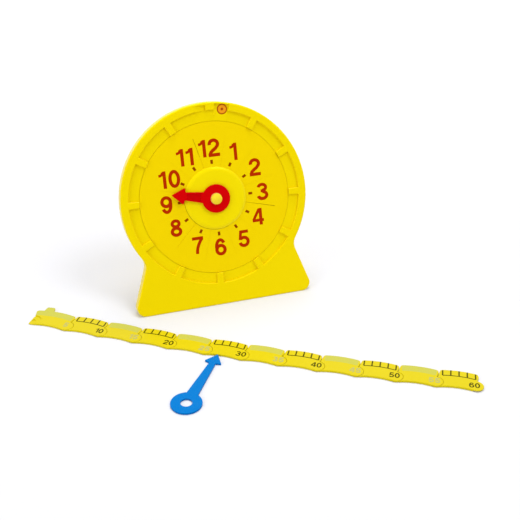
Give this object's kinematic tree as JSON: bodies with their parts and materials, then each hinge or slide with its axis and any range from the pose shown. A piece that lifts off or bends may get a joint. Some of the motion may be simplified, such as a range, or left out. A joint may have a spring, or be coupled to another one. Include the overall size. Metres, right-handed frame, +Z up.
{
  "type": "geared teaching clock with hinged number line",
  "caption": "Leaning teaching clock with a geared hour hand, a lift-off minute hand and a chain of hinged number-line links that curls round the dial.",
  "frame": {"origin": "middle of the flat underside of the clock's base", "axes": "+Z up, the clock's face looks along -Y and leans back, +X to the right as seen from the front"},
  "size_m": [0.6148, 0.444, 0.311],
  "materials": {
    "case_yellow": "smooth moulded plastic, glossy",
    "dial_yellow": "printed moulded plastic",
    "hub_yellow": "smooth moulded plastic",
    "cover_yellow": "lightly textured moulded plastic",
    "stand_yellow": "lightly textured moulded plastic",
    "hour_red": "glossy",
    "minute_blue": "glossy",
    "line_yellow": "smooth moulded plastic, printed",
    "gear_white": "acetal",
    "tube_yellow": "smooth",
    "steel": "plain"
  },
  "bodies": {
    "clock": {"front_housing": "case_yellow", "dial_plate": "dial_yellow", "hub_cover": "hub_yellow", "rear_cover": "cover_yellow", "cover_screws": "steel", "idler_axle": "steel", "stand_hinge_pin": "steel"},
    "idler": {"idler_gear": "gear_white"},
    "hour": {"hour_wheel": "gear_white", "hour_hand": "hour_red"},
    "minute": {"minute_post": "tube_yellow", "cannon_pinion": "gear_white", "spindle_washer": "steel", "spindle_screw": "steel"},
    "stand": {"stand_leg": "stand_yellow"},
    "loose_minute_hand": {"minute_hand": "minute_blue"},
    "link_01_body": {"link_01": "line_yellow"},
    "link_02_body": {"link_02": "line_yellow"},
    "link_03_body": {"link_03": "line_yellow"},
    "link_04_body": {"link_04": "line_yellow"},
    "link_05_body": {"link_05": "line_yellow"},
    "link_06_body": {"link_06": "line_yellow"},
    "link_07_body": {"link_07": "line_yellow"},
    "link_08_body": {"link_08": "line_yellow"},
    "link_09_body": {"link_09": "line_yellow"},
    "link_10_body": {"link_10": "line_yellow"},
    "link_11_body": {"link_11": "line_yellow"},
    "link_12_body": {"link_12": "line_yellow"}
  },
  "joints": [
    {"name": "minute_spindle", "type": "hinge", "parent": "clock", "child": "minute", "pos_m": [0, 0.04703, 0.1661], "axis": [0, -0.9511, 0.309], "continuous": true},
    {"name": "idler_spin", "type": "hinge", "parent": "clock", "child": "idler", "pos_m": [0, 0.05862, 0.20176], "axis": [0, -0.9511, 0.309], "continuous": true},
    {"name": "hour_spin", "type": "hinge", "parent": "clock", "child": "hour", "pos_m": [0, 0.04703, 0.1661], "axis": [0, -0.9511, 0.309], "continuous": true},
    {"name": "stand_fold", "type": "hinge", "parent": "clock", "child": "stand", "pos_m": [0, 0.04618, 0.12011], "axis": [-1, 0, 0], "range_deg": [0, 33]},
    {"name": "minute_hand_lift", "type": "slide", "parent": "clock", "child": "loose_minute_hand", "axis": [0, 0, 1], "range_m": [0, 0.45]},
    {"name": "number_line_lift", "type": "slide", "parent": "clock", "child": "link_06_body", "axis": [0, 0, 1], "range_m": [0, 0.36]},
    {"name": "pivot_30", "type": "hinge", "parent": "link_06_body", "child": "link_07_body", "pos_m": [-0.0159, -0.1546, 0.0016], "axis": [0, 0, -1], "range_deg": [-0.6, 30.56]},
    {"name": "pivot_35", "type": "hinge", "parent": "link_07_body", "child": "link_08_body", "pos_m": [0.03361, -0.18396, 0.0016], "axis": [0, 0, -1], "range_deg": [-0.6, 30.56]},
    {"name": "pivot_40", "type": "hinge", "parent": "link_08_body", "child": "link_09_body", "pos_m": [0.0834, -0.21284, 0.0016], "axis": [0, 0, -1], "range_deg": [-0.6, 30.56]},
    {"name": "pivot_45", "type": "hinge", "parent": "link_09_body", "child": "link_10_body", "pos_m": [0.13348, -0.24123, 0.0016], "axis": [0, 0, -1], "range_deg": [-0.6, 30.56]},
    {"name": "pivot_50", "type": "hinge", "parent": "link_10_body", "child": "link_11_body", "pos_m": [0.18383, -0.26912, 0.0016], "axis": [0, 0, -1], "range_deg": [-0.6, 30.56]},
    {"name": "pivot_55", "type": "hinge", "parent": "link_11_body", "child": "link_12_body", "pos_m": [0.23445, -0.29653, 0.0016], "axis": [0, 0, -1], "range_deg": [-0.6, 30.56]},
    {"name": "pivot_25", "type": "hinge", "parent": "link_06_body", "child": "link_05_body", "pos_m": [-0.06512, -0.12476, 0.0016], "axis": [0, 0, 1], "range_deg": [-0.6, 30.56]},
    {"name": "pivot_20", "type": "hinge", "parent": "link_05_body", "child": "link_04_body", "pos_m": [-0.11405, -0.09443, 0.0016], "axis": [0, 0, 1], "range_deg": [-0.6, 30.56]},
    {"name": "pivot_15", "type": "hinge", "parent": "link_04_body", "child": "link_03_body", "pos_m": [-0.16267, -0.06363, 0.0016], "axis": [0, 0, 1], "range_deg": [-0.6, 30.56]},
    {"name": "pivot_10", "type": "hinge", "parent": "link_03_body", "child": "link_02_body", "pos_m": [-0.211, -0.03236, 0.0016], "axis": [0, 0, 1], "range_deg": [-0.6, 30.56]},
    {"name": "pivot_5", "type": "hinge", "parent": "link_02_body", "child": "link_01_body", "pos_m": [-0.25901, -0.00061, 0.0016], "axis": [0, 0, 1], "range_deg": [-0.6, 30.56]}
  ],
  "couplings": [
    {"joint": "idler_spin", "follows": "minute_spindle", "ratio": -0.33333},
    {"joint": "hour_spin", "follows": "minute_spindle", "ratio": 0.083333}
  ]
}
